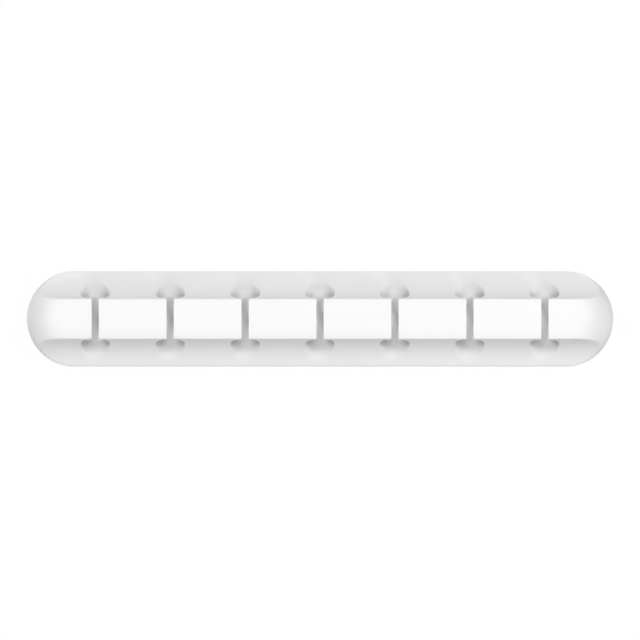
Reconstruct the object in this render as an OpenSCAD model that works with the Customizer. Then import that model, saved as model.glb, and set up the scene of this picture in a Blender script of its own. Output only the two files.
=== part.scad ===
// Desk cable clip strip: a soft silicone moulding with keyhole slots, on a tape pad.
// The origin is at the bottom centre of the tape, +X runs along the strip,
// +Y runs across it and +Z is up. Lengths are in millimetres.

/* [Moulding] */
// Width of the base
base_w = 27; // [24:0.5:31]
// Height of the moulding above its own underside
body_h = 12; // [11:0.5:13.5]
// Width of the gently crowned top between the two hollow flanks
top_w = 11.5; // [10:0.5:14]
// Thickness of the base along its two long edges, where the hollow flanks run out
edge_t = 1.2; // [0.8:0.1:2]
// Height of the upright edge under the rounded crown at the tips
tip_wall = 0.6; // [0.4:0.1:1]
// Radius that softens the two long edges of the top
top_edge_r = 0.3; // [0.2:0.05:0.6]

/* [Cable slots] */
// Number of slots along the strip
slot_count = 7; // [2:1:9]
// Distance between the middles of two neighbouring slots
slot_pitch = 21.25; // [16:0.25:26]
// Distance from the middle of an outer slot to the tip of the strip
end_len = 19.5; // [18:0.5:26]
// Radius of the round channel that holds a cable
bore_r = 4.03; // [3:0.01:4.5]
// Height of the channel's axis above the underside of the moulding
bore_z = 6.3; // [5.7:0.1:7]
// Width of the slit that a cable is pushed through
slit_w = 2; // [1:0.1:3]
// Radius of the slit's corners at both sides of the top
slit_corner_r = 0.35; // [0.2:0.05:0.8]

/* [Tape] */
// Thickness of the double-sided tape
tape_t = 0.8; // [0.6:0.1:1.5]
// Depth of the shallow recess that the tape is stuck in
recess_d = 0.5; // [0.3:0.1:1]
// Width of the rim that is left round the recess
rim_w = 1.5; // [1:0.1:3]
// Gap between the edge of the tape and the rim
tape_gap = 0.3; // [0.2:0.1:1]

/* [Hidden] */

$fn = 96;

// Extra length of a cutter past the face that it cuts through
past = 1;

// Half widths of the base and of the top
half_w = base_w / 2;
half_top = top_w / 2;

// The middles of the slots span this length, and the strip ends end_len past them
slots_len = (slot_count - 1) * slot_pitch;
strip_len = slots_len + 2 * end_len;

// The round ends of the base are turned about a point half a width in from each tip
end_x = strip_len / 2 - half_w;

// The crown is a quarter round from the upright edge to a narrow flat along the middle
crown_r = body_h - tip_wall;
crown_in = half_w - crown_r;

// A flank is a hollow arc, upright at the edge of the top, that ends edge_t high
flank_run = half_w - half_top;
flank_drop = body_h - edge_t;
flank_r = (flank_run * flank_run + flank_drop * flank_drop) / (2 * flank_run);
flank_y = half_top + flank_r;

// The softened edge is an arc inside the crown's circle and outside the flank's circle:
// its centre is where the two circles offset by top_edge_r meet
soft_in = crown_r - top_edge_r;
soft_out = flank_r + top_edge_r;
span_y = flank_y - crown_in;
span_z = body_h - tip_wall;
span = sqrt(span_y * span_y + span_z * span_z);
soft_along = (soft_in * soft_in - soft_out * soft_out + span * span) / (2 * span);
soft_across = sqrt(soft_in * soft_in - soft_along * soft_along);
soft_y = crown_in + (soft_along * span_y - soft_across * span_z) / span;
soft_z = tip_wall + (soft_along * span_z + soft_across * span_y) / span;

// The tape stands proud of the recess, so the moulding's underside is a little way up
body_z = tape_t - recess_d;
recess_half_w = half_w - rim_w;
tape_half_w = recess_half_w - tape_gap;

// Outline of a round-ended bar along X, whose ends are turned about the points end_x out
module bar_outline(half_width) {
    square([2 * end_x, 2 * half_width], center = true);
    for (side = [-1, 1])
        translate([side * end_x, 0]) circle(r = half_width);
}

// Half of the crown's section: upright edge, quarter round and flat middle
module crown_half_section() {
    square([half_w, tip_wall]);
    square([crown_in, body_h]);
    intersection() {
        translate([crown_in, tip_wall]) circle(r = crown_r);
        square([half_w, body_h]);
    }
}

// The whole crown before the flanks are hollowed: a straight run with two turned ends
module crown() {
    rotate([90, 0, 90])
        translate([0, 0, -end_x])
            linear_extrude(height = 2 * end_x) {
                crown_half_section();
                mirror([1, 0]) crown_half_section();
            }
    for (turn = [0, 180])
        rotate([0, 0, turn])
            translate([end_x, 0, 0])
                rotate([0, 0, -90])
                    rotate_extrude(angle = 180) crown_half_section();
}

// A point that lies past the softened edge, seen from its centre towards a direction
function past_edge(y, z) =
    [soft_y, soft_z] + (top_edge_r + past) * [y, z] / sqrt(y * y + z * z);

// Section of what is cut away on one side: the flank's hollow and the softened top edge
module flank_section() {
    up = past_edge(soft_y - crown_in, soft_z - tip_wall);
    out = past_edge(flank_y - soft_y, body_h - soft_z);
    translate([flank_y, body_h]) circle(r = flank_r);
    difference() {
        polygon([[soft_y, soft_z], up, up + out - [soft_y, soft_z], out]);
        translate([soft_y, soft_z]) circle(r = top_edge_r);
    }
}

// Both hollow flanks, cut straight through from tip to tip
module flank_cutters() {
    for (side = [0, 1])
        mirror([0, side, 0])
            rotate([90, 0, 90])
                translate([0, 0, -strip_len / 2 - past])
                    linear_extrude(height = strip_len + 2 * past) flank_section();
}

// Outline of a slit from above, with rounded corners where it leaves the top
module slit_outline() {
    square([slit_w, base_w], center = true);
    for (side = [0, 1])
        mirror([0, side])
            difference() {
                translate([-slit_w / 2 - slit_corner_r, half_top - slit_corner_r])
                    square([slit_w + 2 * slit_corner_r, half_w - half_top]);
                for (wall = [-1, 1])
                    translate([wall * (slit_w / 2 + slit_corner_r), half_top - slit_corner_r])
                        circle(r = slit_corner_r);
            }
}

// One keyhole slot across the strip: a round channel and the slit above it
module slot_cutter() {
    translate([0, 0, bore_z]) {
        rotate([90, 0, 0])
            cylinder(r = bore_r, h = base_w + 2 * past, center = true);
        linear_extrude(height = body_h - bore_z + past) slit_outline();
    }
}

// The silicone moulding: one solid with a keyhole slot for each cable
module clip_body() {
    color("whitesmoke")
        translate([0, 0, body_z])
            difference() {
                crown();
                flank_cutters();
                for (i = [0 : slot_count - 1])
                    translate([i * slot_pitch - slots_len / 2, 0, 0]) slot_cutter();
                translate([0, 0, -past])
                    linear_extrude(height = recess_d + past) bar_outline(recess_half_w);
            }
}

// The double-sided tape, cut to the shape of the recess
module adhesive_pad() {
    color("gainsboro")
        linear_extrude(height = tape_t) bar_outline(tape_half_w);
}

clip_body();
adhesive_pad();
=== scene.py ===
"""Looks of a soft desk cable clip strip: its silicone moulding, its tape and a plain studio."""

import math

import bmesh
import bpy
import numpy as np
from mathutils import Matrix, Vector


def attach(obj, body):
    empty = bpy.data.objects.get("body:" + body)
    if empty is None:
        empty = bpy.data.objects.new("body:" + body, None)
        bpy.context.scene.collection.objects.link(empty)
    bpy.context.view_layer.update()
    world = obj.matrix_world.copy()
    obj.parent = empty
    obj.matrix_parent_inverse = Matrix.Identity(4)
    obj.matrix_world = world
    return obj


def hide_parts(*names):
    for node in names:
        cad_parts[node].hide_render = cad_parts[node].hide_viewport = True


bl_info = {
    "name": "Cable Clip Strip",
    "version": (1, 0, 0),
    "blender": (4, 5, 0),
    "location": "3D View > Sidebar > Clip Strip",
    "description": "Dresses a moulded silicone cable clip strip and its tape, and sets up a studio",
    "category": "Object",
}

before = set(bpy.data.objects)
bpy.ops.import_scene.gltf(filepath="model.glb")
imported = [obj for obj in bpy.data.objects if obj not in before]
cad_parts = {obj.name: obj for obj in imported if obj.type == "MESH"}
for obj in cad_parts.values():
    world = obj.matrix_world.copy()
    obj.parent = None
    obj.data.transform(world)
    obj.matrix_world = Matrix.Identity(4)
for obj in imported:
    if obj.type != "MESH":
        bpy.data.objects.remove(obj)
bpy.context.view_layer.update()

MM = 0.001

# The photograph: image side, scale and where the strip's middle lies in it
IMAGE_SIDE = 640
PIXELS_PER_MM = 3.52
MIDDLE_X = 320.05
MIDDLE_Y = 318.9
CAMERA_HEIGHT = 6.0
SENSOR = 36.0

# Cells of the moulding's mesh: how many lie close to a crease, and how many each patch has
CLOSE = 3
ROUND_CHANNEL = 36
BELOW_CHANNEL = 10
UP_SLIT = 8
ACROSS_HALF = 20
TO_BOUNDARY = 16
DOWN_WALL = 8
FLANK_BAND = 4
ALONG_TIP = 14
ROUND_TIP = 24
BAND = 0.6 * MM
SETTLE_STEPS = 8
PROBE = 1e-7
WELD = 1e-6

# The shade painted round the channels' mouths, where the lamps alone leave them too pale:
# how far it runs out over the faces round a channel, how strong it is from the strip's middle
# to its edge, in shares of half the width, and where beside a slot's middle it starts and is
# full
SHADE_FADE = 0.3 * MM
SHADE_ALONG = ((0.37, 0.0), (0.42, 1.0), (0.49, 1.0), (0.6, 0.0))
SHADE_SIDE = (0.6 * MM, 3.6 * MM)

# Fine structure of the silicone and the tape: noise and cells for each metre, how much darker
# they make the colour, how rough the surface is and how much more they add, and their relief
CLOUD_SCALE = 70.0
CLOUD_TONE = 0.985
GRAIN_DETAIL = 3.0
GRAIN_ROUGHNESS = 0.6
SILICONE_ROUGHNESS = (0.5, 0.1)
SILICONE_IOR = 1.43
CELL_SCALE = 2200.0
CELL_TONE = 0.9
CELL_STRENGTH = 0.3
TAPE_ROUGHNESS = (0.3, 0.15)
RELIEF = 0.02 * MM

# Studio
FLOOR_SIDE = 6.0
FLOOR_GAP = 0.05 * MM
STUDIO_REACH = 0.9
LAMP_WIDTH = 0.22

# Soft lamps round the strip: azimuth and elevation in degrees, and power in watts
LAMPS = {
    "lamp_near_right": (30, 42, 3.4),
    "lamp_right": (108, 42, 3.1),
    "lamp_far_right": (150, 40, 1.9),
    "lamp_far_left": (220, 25, 2.5),
    "lamp_left": (255, 42, 1.6),
    "lamp_near_left": (300, 33, 2.4),
}


class Field:
    """A shader socket that Python's own operators turn into Math nodes."""

    def __init__(self, tree, socket):
        self.tree = tree
        self.socket = socket

    def node(self, kind, settings=None, inputs=None, output=0):
        """Adds a node of any type: its settings first, then its sockets' values or links."""
        made = self.tree.nodes.new(kind)
        for name, value in (settings or {}).items():
            if name == "stops":
                set_stops(made.color_ramp, value)
            else:
                setattr(made, name, value)
        for name, value in (inputs or {}).items():
            if isinstance(value, Field):
                self.tree.links.new(value.socket, made.inputs[name])
            else:
                made.inputs[name].default_value = value
        return Field(self.tree, made.outputs[output])

    def math(self, operation, first, second):
        return self.node("ShaderNodeMath", {"operation": operation}, {0: first, 1: second})

    def __add__(self, other):
        return self.math("ADD", self, other)

    def __radd__(self, other):
        return self.math("ADD", other, self)

    def __sub__(self, other):
        return self.math("SUBTRACT", self, other)

    def __rsub__(self, other):
        return self.math("SUBTRACT", other, self)

    def __mul__(self, other):
        return self.math("MULTIPLY", self, other)

    def __rmul__(self, other):
        return self.math("MULTIPLY", other, self)

    def __abs__(self):
        return self.math("ABSOLUTE", self, 0.0)


def set_stops(ramp, stops):
    """Gives a colour ramp its stops, each a position and a grey level."""
    while len(ramp.elements) > len(stops):
        ramp.elements.remove(ramp.elements[-1])
    while len(ramp.elements) < len(stops):
        ramp.elements.new(1.0)
    for element, (position, level) in zip(ramp.elements, stops):
        element.position = position
        element.color = (level, level, level, 1.0)


def new_material(name):
    """A material with nothing but its output, and a field to build its shader from."""
    material = bpy.data.materials.new(name)
    material.use_nodes = True
    tree = material.node_tree
    tree.nodes.clear()
    out = tree.nodes.new("ShaderNodeOutputMaterial")
    return material, Field(tree, None), out


def finish_material(start, out, shader):
    start.tree.links.new(shader.socket, out.inputs["Surface"])


def mouth_shade(start, place, sizes):
    """How strong the painted shade is: 1 round the channels' mouths, and 0 on outer faces."""
    x, y, z = (
        start.node("ShaderNodeSeparateXYZ", None, {"Vector": place}, axis) for axis in "XYZ"
    )
    last = sizes.slot_count - 1
    count = x * (1 / sizes.slot_pitch) + last / 2
    slot = start.node(
        "ShaderNodeClamp", None, {"Value": count.math("ROUND", count, 0.0), "Max": float(last)}
    )
    off = abs(x - (slot - last / 2) * sizes.slot_pitch)
    rise = z - (sizes.channel_height + sizes.tape_thickness - sizes.recess_depth)
    reach = off.math("POWER", off * off + rise * rise, 0.5)
    round_gap = reach - sizes.channel_radius
    slit_gap = off.math("MAXIMUM", off - sizes.slit_width / 2, 0 - rise)
    gap = off.math("MINIMUM", round_gap, slit_gap)
    wall = start.node(
        "ShaderNodeMapRange",
        {"interpolation_type": "SMOOTHSTEP"},
        {
            "Value": gap,
            "From Min": 0.0,
            "From Max": SHADE_FADE,
            "To Min": 1.0,
            "To Max": 0.0,
        },
    )
    side = start.node(
        "ShaderNodeMapRange",
        {"interpolation_type": "SMOOTHSTEP"},
        {"Value": off, "From Min": SHADE_SIDE[0], "From Max": SHADE_SIDE[1]},
    )
    out_from_middle = abs(y) * (2 / sizes.base_width)
    along = start.node("ShaderNodeValToRGB", {"stops": SHADE_ALONG}, {"Fac": out_from_middle})
    return wall * side * along


def silicone_material(settings, sizes):
    """Matt white silicone with a fine grain, faint clouds and a shade painted at the mouths."""
    material, start, out = new_material("silicone")
    place = start.node("ShaderNodeTexCoord", output="Object")
    cloud = start.node(
        "ShaderNodeTexNoise", None, {"Vector": place, "Scale": CLOUD_SCALE, "Detail": 2.0}
    )
    grain = start.node(
        "ShaderNodeTexNoise",
        None,
        {
            "Vector": place,
            "Scale": 1 / (settings.grain_size * MM),
            "Detail": GRAIN_DETAIL,
            "Roughness": GRAIN_ROUGHNESS,
        },
    )
    tone = start.node(
        "ShaderNodeMix",
        {"data_type": "RGBA"},
        {
            "Factor": cloud,
            "A": [CLOUD_TONE * c for c in settings.silicone_colour] + [1.0],
            "B": [*settings.silicone_colour, 1.0],
        },
        output="Result",
    )
    tone = start.node(
        "ShaderNodeMix",
        {"data_type": "RGBA"},
        {
            "Factor": mouth_shade(start, place, sizes),
            "A": tone,
            "B": [*settings.mouth_colour, 1.0],
        },
        output="Result",
    )
    relief = start.node(
        "ShaderNodeBump",
        None,
        {"Strength": settings.grain_strength, "Distance": RELIEF, "Height": grain},
    )
    shader = start.node(
        "ShaderNodeBsdfPrincipled",
        None,
        {
            "Base Color": tone,
            "Roughness": SILICONE_ROUGHNESS[0] + SILICONE_ROUGHNESS[1] * cloud,
            "IOR": SILICONE_IOR,
            "Normal": relief,
        },
    )
    finish_material(start, out, shader)
    return material


def tape_material(settings):
    """Pale foam tape with closed cells and a slightly glossy adhesive face."""
    material, start, out = new_material("tape")
    place = start.node("ShaderNodeTexCoord", output="Object")
    cells = start.node("ShaderNodeTexVoronoi", None, {"Vector": place, "Scale": CELL_SCALE})
    tone = start.node(
        "ShaderNodeMix",
        {"data_type": "RGBA"},
        {
            "Factor": cells,
            "A": [*settings.tape_colour, 1.0],
            "B": [CELL_TONE * c for c in settings.tape_colour] + [1.0],
        },
        output="Result",
    )
    relief = start.node(
        "ShaderNodeBump",
        None,
        {"Strength": CELL_STRENGTH, "Distance": RELIEF, "Height": cells},
    )
    shader = start.node(
        "ShaderNodeBsdfPrincipled",
        None,
        {
            "Base Color": tone,
            "Roughness": TAPE_ROUGHNESS[0] + TAPE_ROUGHNESS[1] * cells,
            "Normal": relief,
        },
    )
    finish_material(start, out, shader)
    return material


def seen(start):
    """1 for the rays by which the camera, a mirror or glass sees the studio, and else 0."""
    rays = [
        start.node("ShaderNodeLightPath", output=name)
        for name in ("Is Camera Ray", "Is Glossy Ray", "Is Transmission Ray")
    ]
    return start.node("ShaderNodeClamp", None, {"Value": rays[0] + rays[1] + rays[2]})


def floor_material(settings):
    """A white table: the camera sees it near white, with the object's shadow kept on it."""
    material, start, out = new_material("floor")
    paper = start.node("ShaderNodeBsdfDiffuse", None, {"Color": [*settings.floor_colour, 1.0]})
    white = start.node("ShaderNodeEmission", None, {"Strength": settings.floor_white})
    shader = start.node(
        "ShaderNodeMixShader", None, {0: seen(start) * settings.floor_share, 1: paper, 2: white}
    )
    finish_material(start, out, shader)
    return material


def spread(length, count, crease, start=True, end=True):
    """Positions from 0 to length, count cells apart, with close ones at the chosen ends."""
    length = np.asarray(length, float)[..., None]
    reach = np.minimum(crease, length / 4)
    close = reach * np.arange(CLOSE) / CLOSE
    low = reach if start else 0 * length
    high = length - reach if end else length
    even = np.linspace(0, 1, count + 1 - CLOSE * (start + end))
    parts = [low + (high - low) * even]
    if start:
        parts.insert(0, close)
    if end:
        parts.append(length - close[..., ::-1])
    return np.concatenate(parts, axis=-1)


class Moulding:
    """The moulding's form: its outlines, its patches and the distance to its softened skin.

    Heights count from the moulding's own underside. A patch is a grid of points, and each
    covers the quarter of a slot or of a tip where x and y are positive.
    """

    def __init__(self, sizes):
        self.sizes = sizes
        self.half_width = sizes.base_width / 2
        self.half_slit = sizes.slit_width / 2
        self.span = (sizes.slot_count - 1) * sizes.slot_pitch
        self.end_x = self.span / 2 + sizes.end_length - self.half_width
        self.crown_radius = sizes.body_height - sizes.tip_wall
        self.crown_in = self.half_width - self.crown_radius
        run = (sizes.base_width - sizes.top_width) / 2
        drop = sizes.body_height - sizes.edge_thickness
        self.flank_radius = (run * run + drop * drop) / (2 * run)
        self.flank_y = sizes.top_width / 2 + self.flank_radius
        self.low_crease, self.high_crease = self.creases()
        self.lip_z = sizes.channel_height + math.sqrt(
            sizes.channel_radius**2 - self.half_slit**2
        )

    def creases(self):
        """Where the crown's circle meets the flank's circle, low and high, as (y, z)."""
        gap = np.array(
            [self.flank_y - self.crown_in, self.sizes.body_height - self.sizes.tip_wall]
        )
        span = np.hypot(*gap)
        along = (self.crown_radius**2 - self.flank_radius**2 + span**2) / (2 * span)
        across = math.sqrt(self.crown_radius**2 - along**2)
        forth = gap / span
        side = np.array([-forth[1], forth[0]])
        foot = np.array([self.crown_in, self.sizes.tip_wall]) + along * forth
        return foot - across * side, foot + across * side

    def flank(self, z):
        """How far out the hollow flank is at a height."""
        return self.flank_y - np.sqrt(self.flank_radius**2 - (self.sizes.body_height - z) ** 2)

    def crown(self, z):
        """How far out the crown is at a height."""
        rise = np.maximum(z - self.sizes.tip_wall, 0)
        return self.crown_in + np.sqrt(self.crown_radius**2 - rise**2)

    def top(self, y):
        """How high the crown is at a distance from its middle."""
        out = np.maximum(y - self.crown_in, 0)
        return self.sizes.tip_wall + np.sqrt(self.crown_radius**2 - out**2)

    def angle(self, z):
        """The angle round the flank's circle at a height, down from level."""
        return np.arcsin((self.sizes.body_height - z) / self.flank_radius)

    def height(self, angle):
        return self.sizes.body_height - self.flank_radius * np.sin(angle)

    def distance(self, points):
        """Signed distance to the skin, with every crease rounded by the softness."""
        sizes = self.sizes
        x, y, z = points.T
        reach = np.hypot(np.maximum(np.abs(x) - self.end_x, 0), y)
        crown = np.hypot(reach - self.crown_in, z - sizes.tip_wall) - self.crown_radius
        crown = np.where(reach < self.crown_in, z - sizes.body_height, crown)
        crown = np.where(z < sizes.tip_wall, reach - self.half_width, crown)
        flank = self.flank_radius - np.hypot(
            np.abs(y) - self.flank_y, z - sizes.body_height
        )
        last = sizes.slot_count - 1
        slot = np.clip(np.round(x / sizes.slot_pitch + last / 2), 0, last)
        off = x - (slot - last / 2) * sizes.slot_pitch
        channel = sizes.channel_radius - np.hypot(off, z - sizes.channel_height)
        slit = np.where(
            z > sizes.channel_height, self.half_slit - np.abs(off), -self.half_width
        )
        depth = np.clip((sizes.channel_height - z) / sizes.channel_radius, 0, 1)
        blend = sizes.softness + (sizes.mouth_softness - sizes.softness) * depth**2
        hollow = rounded((flank, channel), blend)
        top = rounded((crown, slit), sizes.lip_softness)
        return rounded((hollow, top, -z), sizes.softness)

    def slope(self, points):
        """Gradient of the distance, by central differences."""
        steps = PROBE * np.eye(3)
        return np.stack(
            [self.distance(points + s) - self.distance(points - s) for s in steps], axis=1
        ) / (2 * PROBE)

    def settle(self, points):
        """Moves points of the sharp form onto the softened skin."""
        for _ in range(SETTLE_STEPS):
            slope = self.slope(points)
            share = self.distance(points) / np.maximum((slope**2).sum(axis=1), PROBE)
            points = points - share[:, None] * slope
        return points

    def rows(self):
        """The lines that neighbouring patches share, measured from the slot's middle."""
        sizes = self.sizes
        soft = sizes.softness
        lip_angle = math.atan2(self.lip_z - sizes.channel_height, self.half_slit)
        arc = sizes.channel_radius * (lip_angle + math.pi / 2)
        turn = spread(arc, ROUND_CHANNEL, soft, start=False) / sizes.channel_radius
        turn = turn - math.pi / 2
        channel = np.stack(
            [
                sizes.channel_radius * np.cos(turn),
                sizes.channel_height + sizes.channel_radius * np.sin(turn),
            ],
            axis=1,
        )
        first, last = self.angle(self.lip_z), self.angle(self.high_crease[1])
        front = first - spread((first - last) * self.flank_radius, UP_SLIT, soft) / (
            self.flank_radius
        )
        across = self.high_crease[0] - spread(self.high_crease[0], ACROSS_HALF, soft, end=False)
        return channel, front, across

    def slot_patches(self, boundary):
        """The patches from a slot's middle to a boundary that lies that far along the strip."""
        channel, front, across = self.rows()
        low = self.angle(self.low_crease[1])
        band = low - BAND / self.flank_radius
        inner_x = np.append(channel[:, 0], np.full(UP_SLIT, self.half_slit))
        inner_a = np.append(self.angle(channel[:, 1]), front[1:])
        below = np.linspace(0, boundary, BELOW_CHANNEL + 1)
        beside = np.linspace(band, front[0], ROUND_CHANNEL - BELOW_CHANNEL + 1)
        outer_x = np.append(below, np.full(len(inner_x) - len(below), boundary))
        outer_a = np.concatenate([np.full(BELOW_CHANNEL, band), beside, front[1:]])
        length = np.hypot(outer_x - inner_x, (outer_a - inner_a) * self.flank_radius)
        share = spread(length, TO_BOUNDARY, self.sizes.softness, end=False) / length[:, None]
        x = inner_x[:, None] + (outer_x - inner_x)[:, None] * share
        a = inner_a[:, None] + (outer_a - inner_a)[:, None] * share
        flank = self.on_flank(x, a)
        strip_a = band + spread(BAND, FLANK_BAND, self.sizes.softness, start=False) / (
            self.flank_radius
        )
        strip = self.on_flank(*np.meshgrid(below, strip_a))
        path = self.rim_path()
        rim = grid(below[None, :], path[:, :1], path[:, 1:])
        top = grid(x[-1][None, :], across[:, None], self.top(across)[:, None])
        share = across / across[0]
        wall = grid(
            channel[:, :1], self.flank(channel[:, 1:]) * share, channel[:, 1:] + 0 * share
        )
        level = self.height(front)
        rise = (level - level[0]) / (level[-1] - level[0])
        slit = grid(
            self.half_slit,
            self.flank(level)[:, None] * share,
            level[0] + rise[:, None] * (self.top(across) - level[0]),
        )
        return [flank, strip, rim, top, wall, slit]

    def on_flank(self, x, angle):
        z = self.height(angle)
        return grid(x, self.flank(z), z)

    def rim_path(self):
        """From the low crease down the wall and in along the underside, as (reach, height)."""
        sizes = self.sizes
        drop = self.low_crease[1] - spread(self.low_crease[1], DOWN_WALL, sizes.softness)
        wall = np.stack([self.crown(drop), drop], axis=1)
        recess = self.half_width - sizes.rim_width
        under = spread(sizes.rim_width, DOWN_WALL // 2, sizes.softness, end=False)[1:]
        under = np.stack([self.half_width - under, 0 * under], axis=1)
        inside = [[recess, sizes.recess_depth], [0, sizes.recess_depth]]
        return np.concatenate([wall, under, inside])

    def tip_patches(self):
        """The patches round a tip, measured from where the straight run ends."""
        _, front, across = self.rows()
        soft = self.sizes.softness
        low = self.angle(self.low_crease[1])
        band = low - BAND / self.flank_radius
        strip = band + spread(BAND, FLANK_BAND, soft, start=False) / self.flank_radius
        beside = np.linspace(band, front[0], ROUND_CHANNEL - BELOW_CHANNEL + 1)
        z = self.height(np.concatenate([strip[:0:-1], beside, front[1:]]))
        reach, y = self.crown(z), self.flank(z)
        straight = np.sqrt(np.maximum(reach**2 - y**2, 0))
        x = spread(straight, ALONG_TIP, soft, start=False)
        flank = grid(x, y[:, None], z[:, None])
        bend = np.arcsin(np.minimum(y / reach, 1))
        arc = bend - spread(reach * bend, ROUND_TIP, soft, end=False).T / reach
        crown = self.turned(reach, z, arc.T)
        top = self.turned(across, self.top(across), self.quarter(across[0]))
        path = self.rim_path()
        rim = self.turned(path[:, 0], path[:, 1], self.quarter(path[0, 0]))
        return [flank, crown, top, rim]

    def quarter(self, reach):
        """Angles of a quarter turn, spaced as along an arc of that reach."""
        full = math.pi / 2
        return full - spread(reach * full, ROUND_TIP, self.sizes.softness, end=False) / reach

    def turned(self, reach, z, angle):
        reach = reach[:, None]
        return grid(reach * np.cos(angle), reach * np.sin(angle), z[:, None])


def rounded(sides, soft):
    """The distance to where several sides meet, with their crease rounded to a radius."""
    sides = np.stack(sides)
    round_off = np.linalg.norm(np.maximum(sides + soft, 0), axis=0)
    return np.minimum(sides.max(axis=0), -soft) + round_off


def grid(x, y, z):
    """Three arrays of coordinates as one grid of points."""
    return np.stack(np.broadcast_arrays(x, y, z), axis=-1)


def add_patch(bm, points, shift, side_x, side_y):
    """Adds a grid of points to a mesh, mirrored and shifted along the strip."""
    placed = points * (side_x, side_y, 1) + (side_x * shift[0] + shift[1], 0, 0)
    corners = [[bm.verts.new(point) for point in row] for row in placed]
    for near, far in zip(corners, corners[1:]):
        for i in range(len(near) - 1):
            bm.faces.new((near[i], near[i + 1], far[i + 1], far[i]))


def make_moulding(sizes):
    """The silicone moulding as one closed mesh with softened creases."""
    form = Moulding(sizes)
    middle = form.slot_patches(sizes.slot_pitch / 2)
    outer = form.slot_patches(sizes.end_length - form.half_width)
    tip = form.tip_patches()
    bm = bmesh.new()
    for side_y in (1, -1):
        for slot in range(sizes.slot_count):
            place = slot * sizes.slot_pitch - form.span / 2
            for side_x, last in ((-1, 0), (1, sizes.slot_count - 1)):
                for points in outer if slot == last else middle:
                    add_patch(bm, points, (0, place), side_x, side_y)
        for side_x in (1, -1):
            for points in tip:
                add_patch(bm, points, (form.end_x, 0), side_x, side_y)
    bmesh.ops.remove_doubles(bm, verts=bm.verts, dist=WELD)
    bmesh.ops.recalc_face_normals(bm, faces=bm.faces)
    points = np.array([v.co for v in bm.verts], float)
    reach = np.hypot(np.maximum(np.abs(points[:, 0]) - form.end_x, 0), points[:, 1])
    hidden = (reach < form.half_width - sizes.rim_width + WELD) & (
        points[:, 2] < sizes.recess_depth + WELD
    )
    points[~hidden] = form.settle(points[~hidden])
    normals = form.slope(points)
    normals[hidden] = (0, 0, -1)
    normals /= np.linalg.norm(normals, axis=1)[:, None]
    lift = sizes.tape_thickness - sizes.recess_depth
    for vertex, point in zip(bm.verts, points):
        vertex.co = (point[0], point[1], point[2] + lift)
    mesh = bpy.data.meshes.new("moulding")
    bm.to_mesh(mesh)
    bm.free()
    mesh.polygons.foreach_set("use_smooth", np.ones(len(mesh.polygons), bool))
    mesh.normals_split_custom_set_from_vertices(normals)
    piece = bpy.data.objects.new("moulding", mesh)
    bpy.context.scene.collection.objects.link(piece)
    return piece


def dress(node, material):
    """Gives a node of the model its material."""
    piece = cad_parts[node]
    piece.data.materials.clear()
    piece.data.materials.append(material)
    return piece


def look_at(thing, target):
    thing.rotation_euler = (Vector(target) - thing.location).to_track_quat("-Z", "Y").to_euler()


def add_lamp(name, azimuth, elevation, power):
    """A square soft lamp that faces the strip. Azimuth 0 stands at -Y and 90 at +X."""
    light = bpy.data.lights.new(name, "AREA")
    light.size = LAMP_WIDTH
    light.energy = power
    lamp = bpy.data.objects.new(name, light)
    turn = math.radians(azimuth)
    rise = math.radians(elevation)
    lamp.location = STUDIO_REACH * Vector(
        (math.sin(turn) * math.cos(rise), -math.cos(turn) * math.cos(rise), math.sin(rise))
    )
    look_at(lamp, (0, 0, 0))
    bpy.context.scene.collection.objects.link(lamp)


def add_camera():
    """A camera straight overhead, far enough away that the strip shows little perspective."""
    data = bpy.data.cameras.new("camera")
    camera = bpy.data.objects.new("camera", data)
    view_width = IMAGE_SIDE / PIXELS_PER_MM * MM
    data.sensor_width = SENSOR
    data.lens = SENSOR * CAMERA_HEIGHT / view_width
    data.clip_end = 3 * CAMERA_HEIGHT
    half = IMAGE_SIDE / 2
    camera.location = (
        (half - MIDDLE_X) / PIXELS_PER_MM * MM,
        (MIDDLE_Y - half) / PIXELS_PER_MM * MM,
        CAMERA_HEIGHT,
    )
    bpy.context.scene.collection.objects.link(camera)
    bpy.context.scene.camera = camera


def add_floor(material):
    """A plain floor just under the tape."""
    mesh = bpy.data.meshes.new("floor")
    half = FLOOR_SIDE / 2
    low = -FLOOR_GAP
    corners = [(-half, -half, low), (half, -half, low), (half, half, low), (-half, half, low)]
    mesh.from_pydata(corners, [], [(0, 1, 2, 3)])
    mesh.materials.append(material)
    floor = bpy.data.objects.new("floor", mesh)
    bpy.context.scene.collection.objects.link(floor)


def set_world(fill):
    """Even fill light, which camera, mirror and glass rays see as plain white."""
    world = bpy.data.worlds.new("studio")
    world.use_nodes = True
    tree = world.node_tree
    tree.nodes.clear()
    out = tree.nodes.new("ShaderNodeOutputWorld")
    start = Field(tree, None)
    light = start.node("ShaderNodeBackground", None, {"Color": (1, 1, 1, 1), "Strength": fill})
    white = start.node("ShaderNodeBackground", None, {"Color": (1, 1, 1, 1), "Strength": 1.0})
    shader = start.node("ShaderNodeMixShader", None, {0: seen(start), 1: light, 2: white})
    tree.links.new(shader.socket, out.inputs["Surface"])
    bpy.context.scene.world = world


def length_property(name, description, millimetres):
    """A length that Blender shows in the scene's units, given in millimetres."""
    return bpy.props.FloatProperty(
        name=name,
        description=description,
        default=millimetres * MM,
        min=0,
        unit="LENGTH",
        precision=5,
    )


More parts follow.
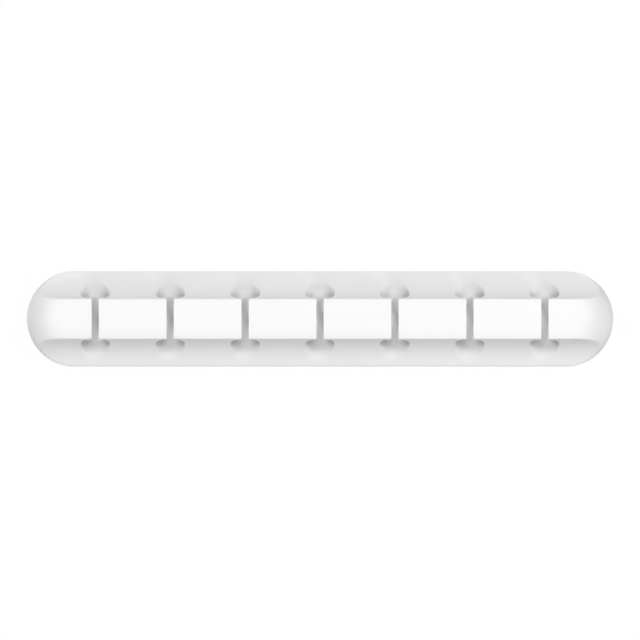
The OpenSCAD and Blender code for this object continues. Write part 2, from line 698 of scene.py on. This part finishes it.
class ClipStripSizes(bpy.types.PropertyGroup):
    """Sizes of the moulding and its tape."""

    base_width: length_property("Base width", "Width of the base", 27)
    body_height: length_property("Height", "Height of the moulding above its underside", 12)
    top_width: length_property("Top width", "Width of the crowned top between the flanks", 11.5)
    edge_thickness: length_property(
        "Edge thickness", "Thickness of the base where the hollow flanks run out", 1.2
    )
    tip_wall: length_property("Upright edge", "Height of the upright edge under the crown", 0.6)
    slot_count: bpy.props.IntProperty(
        name="Slots", description="Number of cable slots", default=7, min=2
    )
    slot_pitch: length_property("Slot pitch", "Distance between neighbouring slots", 21.25)
    end_length: length_property("End length", "Distance from an outer slot to the tip", 19.5)
    channel_radius: length_property("Channel radius", "Radius of the cable channel", 4.03)
    channel_height: length_property(
        "Channel height", "Height of the channel's axis above the underside", 6.3
    )
    slit_width: length_property("Slit width", "Width of the slit above the channel", 2)
    softness: length_property("Softness", "Radius that softens the edges", 0.3)
    lip_softness: length_property("Lip softness", "Radius that softens the slit's lips", 0.15)
    mouth_softness: length_property(
        "Mouth softness", "Radius that softens the lowest point of a channel's mouth", 1
    )
    rim_width: length_property("Rim width", "Width of the rim round the tape's recess", 1.5)
    recess_depth: length_property("Recess depth", "Depth of the tape's recess", 0.5)
    tape_thickness: length_property("Tape thickness", "Thickness of the tape", 0.8)


class ClipStripSettings(bpy.types.PropertyGroup):
    """Colours and finish of the strip, and the light in the studio."""

    silicone_colour: bpy.props.FloatVectorProperty(
        name="Silicone",
        description="Colour of the moulding",
        subtype="COLOR",
        default=(0.86, 0.86, 0.86),
        min=0,
        max=1,
    )
    mouth_colour: bpy.props.FloatVectorProperty(
        name="Shade at the mouths",
        description="Colour painted round the channels' mouths; the moulding's own takes it out",
        subtype="COLOR",
        default=(0.55, 0.55, 0.55),
        min=0,
        max=1,
    )
    grain_size: bpy.props.FloatProperty(
        name="Grain size",
        description="Size of the moulded grain, in millimetres",
        default=0.35,
        min=0.05,
        max=2,
    )
    grain_strength: bpy.props.FloatProperty(
        name="Grain strength",
        description="How strongly the moulded grain shows",
        default=0.15,
        min=0,
        max=1,
    )
    tape_colour: bpy.props.FloatVectorProperty(
        name="Tape",
        description="Colour of the foam tape",
        subtype="COLOR",
        default=(0.75, 0.75, 0.73),
        min=0,
        max=1,
    )
    floor_colour: bpy.props.FloatVectorProperty(
        name="Floor",
        description="Colour of the floor under its plain white",
        subtype="COLOR",
        default=(0.2, 0.2, 0.2),
        min=0,
        max=1,
    )
    floor_white: bpy.props.FloatProperty(
        name="Floor white",
        description="Brightness that the camera sees where nothing shades the floor",
        default=1.2,
        min=0,
        max=2,
    )
    floor_share: bpy.props.FloatProperty(
        name="Floor white share",
        description="How much of the floor's look is plain white and takes no shadow",
        default=0.8,
        min=0,
        max=1,
    )
    fill: bpy.props.FloatProperty(
        name="Fill",
        description="Strength of the even light from all sides",
        default=0.0,
        min=0,
        max=2,
    )


class CLIPSTRIP_OT_moulding(bpy.types.Operator):
    """Make the silicone moulding"""

    bl_idname = "clipstrip.moulding"
    bl_label = "Silicone moulding"

    def execute(self, context):
        piece = make_moulding(context.scene.clip_strip_sizes)
        scene = context.scene
        piece.data.materials.append(silicone_material(scene.clip_strip, scene.clip_strip_sizes))
        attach(piece, "root")
        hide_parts("clip_body")
        return {"FINISHED"}


class CLIPSTRIP_OT_tape(bpy.types.Operator):
    """Dress the double-sided tape"""

    bl_idname = "clipstrip.tape"
    bl_label = "Double-sided tape"

    def execute(self, context):
        piece = dress("adhesive_pad", tape_material(context.scene.clip_strip))
        return {"FINISHED"}


class CLIPSTRIP_OT_studio(bpy.types.Operator):
    """Set up the floor, the lamps, the surrounding light and the camera"""

    bl_idname = "clipstrip.studio"
    bl_label = "Studio"

    def execute(self, context):
        settings = context.scene.clip_strip
        add_floor(floor_material(settings))
        set_world(settings.fill)
        for name, (azimuth, elevation, power) in LAMPS.items():
            add_lamp(name, azimuth, elevation, power)
        add_camera()
        context.scene.view_settings.view_transform = "Standard"
        return {"FINISHED"}


class CLIPSTRIP_PT_panel(bpy.types.Panel):
    """The pieces of the strip and their settings"""

    bl_label = "Clip Strip"
    bl_idname = "CLIPSTRIP_PT_panel"
    bl_space_type = "VIEW_3D"
    bl_region_type = "UI"
    bl_category = "Clip Strip"

    def draw(self, context):
        layout = self.layout
        for settings in (context.scene.clip_strip_sizes, context.scene.clip_strip):
            for name in settings.bl_rna.properties.keys():
                if name not in ("rna_type", "name"):
                    layout.prop(settings, name)
        for operator in OPERATORS:
            layout.operator(operator.bl_idname)


OPERATORS = (CLIPSTRIP_OT_moulding, CLIPSTRIP_OT_tape, CLIPSTRIP_OT_studio)
CLASSES = (ClipStripSizes, ClipStripSettings, *OPERATORS, CLIPSTRIP_PT_panel)


def register():
    for cls in CLASSES:
        bpy.utils.register_class(cls)
    bpy.types.Scene.clip_strip_sizes = bpy.props.PointerProperty(type=ClipStripSizes)
    bpy.types.Scene.clip_strip = bpy.props.PointerProperty(type=ClipStripSettings)


def unregister():
    del bpy.types.Scene.clip_strip
    del bpy.types.Scene.clip_strip_sizes
    for cls in reversed(CLASSES):
        bpy.utils.unregister_class(cls)


def main():
    register()
    bpy.ops.clipstrip.moulding()
    bpy.ops.clipstrip.tape()
    bpy.ops.clipstrip.studio()


if __name__ == "__main__":
    main()
